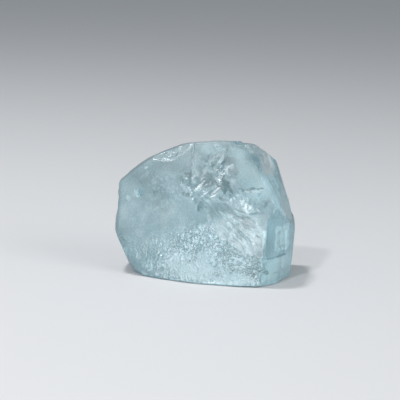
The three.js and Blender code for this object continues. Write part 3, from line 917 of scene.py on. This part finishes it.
def mark_tone(p):
    """The flaws and veils, ragged and grainy."""
    x, z = p[:, 0], p[:, 2]
    ragged_x, ragged_z = ragged(p, size=0.6, reach=0.2, seed=95)
    marks = sum(blot(ragged_x, ragged_z, mark) for place in MARKS.values() for mark in place)
    grain = noise((x, z), seed=99, size=MARK_GRAIN.size)
    return marks * front_side(p) * (1 + MARK_GRAIN.light * grain)


# Painted light on the crown chip: its whole dish lighter than its shading, and lighter facet by
# facet as painted glints.
def crown_painted_light(p):
    local = p - CROWN.point
    number = crown_facets(local @ CROWN.along, local @ CROWN.up)[1]
    return crown_zone(p) * (1 + CROWN_FACETS.light * number)


def crest_highlight(p):
    """The top faces, lighter as a painted highlight from above."""
    tops, others = [], []
    for name, flat in zip(FACES, flat_distances(p)):
        (tops if name in TOPS else others).append(flat)
    above = np.max(tops, axis=0) - np.max(others, axis=0)
    return CREST.light * step(CREST.start, CREST.fade, above)


def tone_of(p, frost, fan, shard):
    """How much whiter (above 0) or darker (below 0) the stone is than its body, from veils and
    flaws and from painted light and shade.
    """
    x, z = p[:, 0], p[:, 2]
    veil = VEILS.light * fractal(p.T, octaves=4, seed=91, size=VEILS.size)
    broken = fan * fan_skin(x, z)[1] + shard * shard_skin(x, z)[1]
    cloud = blot(x, z, CLOUD) * (frost_skin(p)[1] - CLOUD_SHADE) * front_side(p)
    tone = veil + frost_tone(p, frost) + broken + cloud + mark_tone(p)
    return np.clip(tone + crown_painted_light(p) + crest_highlight(p), -1, 1)


def pane_zone(p):
    """The clear teal blocks and sheets, partly painted light."""
    x, z = ragged(p, size=1.2, reach=0.14, seed=103)
    panes = sum(
        strength * within(x_span, PANE_EDGE.across, x) * within(z_span, PANE_EDGE.up, z)
        for x_span, z_span, strength in PANELS
    )
    lines = noise((x / PANE_LINES.length, z / PANE_LINES.width), seed=101)
    panes = panes * (1 + PANE_LINES.light * lines)
    sheets = sum(blot(x, z, sheet) for sheet in SHEETS)
    return np.clip((panes + sheets) * front_side(p), 0, 1)


def stain_zone(p):
    return strongest(*ragged(p, size=1.1, reach=0.35, seed=97), STAINS) * front_side(p)


def zones_of(p):
    clear, fan, shard = clear_zone(p), fan_zone(p), shard_zone(p)
    frost = frost_zone(p) * (1 - clear)
    shard = shard * (1 - fan) * (1 - clear)
    fan = fan * (1 - clear)
    frost = frost * (1 - FRONT.fan_share * fan)
    return {
        "frost": frost * less_on_left(p[:, 0], edge=-8, width=11, least=0.3),
        "broken": np.maximum(np.maximum(fan / 4, shard), crown_zone(p)),
        "clear": clear,
        "stain": stain_zone(p),
        "pane": pane_zone(p),
        "tone": tone_of(p, frost, fan, shard),
    }


def build_stone():
    points, quads = contour()
    if normals_of(points, quads)[np.argmax(points[:, 2]), 2] < 0:
        quads = quads[:, ::-1]
    points, faces = refine_front(points, quads)
    mesh = bpy.data.meshes.new("topaz")
    mesh.from_pydata(points.tolist(), [], faces)
    for _ in range(ROUNDS):
        normals = np.empty(len(points) * 3)
        mesh.vertices.foreach_get("normal", normals)
        distance = np.clip(stone_distance(points), -LONGEST_PULL, LONGEST_PULL)
        points = points - distance[:, None] * normals.reshape(-1, 3)
        mesh.vertices.foreach_set("co", points.ravel())
        mesh.update()
    zones = zones_of(points)
    low, high = points.min(axis=0), points.max(axis=0)
    cad_low, cad_high = (np.array(corner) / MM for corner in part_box(NODE))
    shift = (cad_low + cad_high - low - high) / 2
    shift[2] = cad_low[2] - low[2]
    mesh.vertices.foreach_set("co", ((points + shift) * MM).ravel())
    mesh.shade_smooth()
    mesh.update()
    for name, values in zones.items():
        mesh.attributes.new(name, "FLOAT", "POINT").data.foreach_set("value", values)
    stone = bpy.data.objects.new("topaz", mesh)
    bpy.context.scene.collection.objects.link(stone)
    return stone, shift * MM


# ---- The material ----

class Nodes:
    """Short ways to add nodes to a material."""

    def __init__(self, material):
        self.nodes = material.node_tree.nodes
        self.links = material.node_tree.links
        self.coordinates = self.nodes.new("ShaderNodeTexCoord").outputs["Object"]

    def feed(self, socket, value):
        if isinstance(value, bpy.types.NodeSocket):
            self.links.new(value, socket)
        else:
            socket.default_value = value

    def attribute(self, name):
        node = self.nodes.new("ShaderNodeAttribute")
        node.attribute_name = name
        return node.outputs["Fac"]

    def math(self, operation, first, second):
        node = self.nodes.new("ShaderNodeMath")
        node.operation = operation
        self.feed(node.inputs[0], first)
        self.feed(node.inputs[1], second)
        return node.outputs[0]

    def blend(self, share, first, second):
        node = self.nodes.new("ShaderNodeMix")
        node.data_type = "RGBA"
        for socket, value in zip((0, 6, 7), (share, first, second)):
            self.feed(node.inputs[socket], value)
        return node.outputs[2]

    def share(self, zone, full, base=0.0):
        """base, plus full where the zone is full."""
        part = self.math("MULTIPLY", self.attribute(zone), full)
        return self.math("ADD", part, base) if base else part

    def noise(self, size, detail):
        node = self.nodes.new("ShaderNodeTexNoise")
        self.links.new(self.coordinates, node.inputs["Vector"])
        node.inputs["Scale"].default_value = 1 / (size * MM)
        node.inputs["Detail"].default_value = detail
        return node.outputs["Fac"]

    def cells(self, size):
        node = self.nodes.new("ShaderNodeTexVoronoi")
        self.links.new(self.coordinates, node.inputs["Vector"])
        node.inputs["Scale"].default_value = 1 / (size * MM)
        return node.outputs["Distance"]


def topaz_speckle_and_sparkle(nodes):
    """Fine light and dark points; strong on frosted skin, where the light ones are painted
    sparkle.
    """
    speckle = nodes.math("SUBTRACT", nodes.noise(SPECKLE.size, 1), 0.5)
    strength = nodes.share("frost", SPECKLE.frosted, SPECKLE.strength)
    return nodes.math("MAXIMUM", nodes.math("MULTIPLY", speckle, strength), SPECKLE.darkest)


def topaz_colour(nodes):
    """Uneven pale blue, clearer on glassy faces, whiter at veils and painted glints, highlights
    and glow, dark in flaws and painted shade, lighter teal at the partly painted panes, with
    stains.
    """
    body = nodes.blend(nodes.noise(BODY_PATCH, 6), BODY_DARK, BODY_LIGHT)
    body = nodes.blend(nodes.share("clear", CLEAR_SHARE), body, CLEAR)
    body = nodes.blend(nodes.attribute("pane"), body, PANE)
    tone = nodes.math("ADD", nodes.attribute("tone"), topaz_speckle_and_sparkle(nodes))
    white = nodes.math("MAXIMUM", tone, 0.0)
    dark = nodes.math("MAXIMUM", nodes.math("MULTIPLY", tone, -1.0), 0.0)
    sheen = nodes.math("MAXIMUM", nodes.attribute("frost"), nodes.attribute("clear"))
    veil = nodes.blend(sheen, VEIL_AND_HIGHLIGHT, SHEEN)
    colour = nodes.blend(nodes.math("MULTIPLY", white, VEIL_AND_HIGHLIGHT_SHARE), body, veil)
    colour = nodes.blend(dark, colour, FLAW_AND_SHADE)
    return nodes.blend(nodes.share("stain", STAIN_SHARE), colour, STAIN)


def topaz_roughness(nodes):
    rough = nodes.share("frost", FROST_ROUGHNESS - BODY_ROUGHNESS, BODY_ROUGHNESS)
    for zone, zone_roughness in (("broken", BROKEN_ROUGHNESS), ("clear", CLEAR_ROUGHNESS)):
        rough = nodes.math("ADD", rough, nodes.share(zone, zone_roughness - BODY_ROUGHNESS))
    return rough


def topaz_grain(nodes):
    """The finest grain, strong on frosted skin."""
    bump = nodes.nodes.new("ShaderNodeBump")
    bump.inputs["Distance"].default_value = GRAIN.height * MM
    nodes.feed(bump.inputs["Strength"], nodes.share("frost", GRAIN.frosted, GRAIN.strength))
    height = nodes.math("ADD", nodes.cells(GRAIN.cell), nodes.noise(GRAIN.lump, 2))
    nodes.feed(bump.inputs["Height"], height)
    return bump.outputs["Normal"]


def topaz_material():
    material = bpy.data.materials.new("topaz")
    material.use_nodes = True
    nodes = Nodes(material)
    shader = nodes.nodes["Principled BSDF"]
    shader.inputs["Transmission Weight"].default_value = TRANSMISSION
    shader.inputs["IOR"].default_value = IOR
    nodes.feed(shader.inputs["Base Color"], topaz_colour(nodes))
    nodes.feed(shader.inputs["Roughness"], topaz_roughness(nodes))
    nodes.feed(shader.inputs["Normal"], topaz_grain(nodes))
    absorption = nodes.nodes.new("ShaderNodeVolumeAbsorption")
    absorption.inputs["Color"].default_value = ABSORBED
    absorption.inputs["Density"].default_value = ABSORPTION
    nodes.feed(nodes.nodes["Material Output"].inputs["Volume"], absorption.outputs["Volume"])
    return material


# ---- Floor, lights and camera ----

def build_floor():
    mesh = bpy.data.meshes.new("floor")
    mesh.from_pydata([(-1, -1, 0), (1, -1, 0), (1, 1, 0), (-1, 1, 0)], [], [(0, 1, 2, 3)])
    material = bpy.data.materials.new("floor")
    material.use_nodes = True
    shader = material.node_tree.nodes["Principled BSDF"]
    shader.inputs["Base Color"].default_value = FLOOR_COLOUR
    shader.inputs["Roughness"].default_value = FLOOR_ROUGHNESS
    mesh.materials.append(material)
    floor = bpy.data.objects.new("floor", mesh)
    bpy.context.scene.collection.objects.link(floor)
    floor.location.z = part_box(NODE)[0].z - FLOOR_GAP


def build_lamp(name, place, size, power):
    light = bpy.data.lights.new(name, "AREA")
    light.shape = "RECTANGLE"
    light.size, light.size_y = size
    light.energy = power
    lamp = bpy.data.objects.new(name, light)
    bpy.context.scene.collection.objects.link(lamp)
    lamp.location = place
    lamp.rotation_euler = (LIT - Vector(place)).to_track_quat("-Z", "Y").to_euler()


def build_lights():
    for lamp in LAMPS:
        build_lamp(*lamp)
    world = bpy.data.worlds.new("studio")
    world.use_nodes = True
    background = world.node_tree.nodes["Background"]
    background.inputs["Color"].default_value = SKY
    background.inputs["Strength"].default_value = SKY_STRENGTH
    bpy.context.scene.world = world


def build_camera(shift):
    """The viewpoint of the photograph. shift is how far the stone was moved to its place."""
    target = Vector((shift[0], shift[1], AIM_HEIGHT))
    view = Vector((0, math.cos(math.radians(ELEVATION)), -math.sin(math.radians(ELEVATION))))
    data = bpy.data.cameras.new("camera")
    data.lens = LENS
    data.sensor_width = SENSOR
    data.shift_x, data.shift_y = SHIFT
    camera = bpy.data.objects.new("camera", data)
    bpy.context.scene.collection.objects.link(camera)
    camera.location = target - view * DISTANCE
    camera.rotation_mode = "QUATERNION"
    turn = view.to_track_quat("-Z", "Y")
    camera.rotation_quaternion = turn @ Quaternion((0, 0, 1), math.radians(ROLL))
    bpy.context.scene.camera = camera


def main():
    stone, shift = build_stone()
    stone.data.materials.append(topaz_material())
    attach(stone, "root")
    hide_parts(NODE)
    build_floor()
    build_lights()
    build_camera(shift)
    scene = bpy.context.scene
    scene.view_settings.view_transform = "Standard"
    scene.cycles.max_bounces = BOUNCES
    scene.cycles.transmission_bounces = BOUNCES


main()
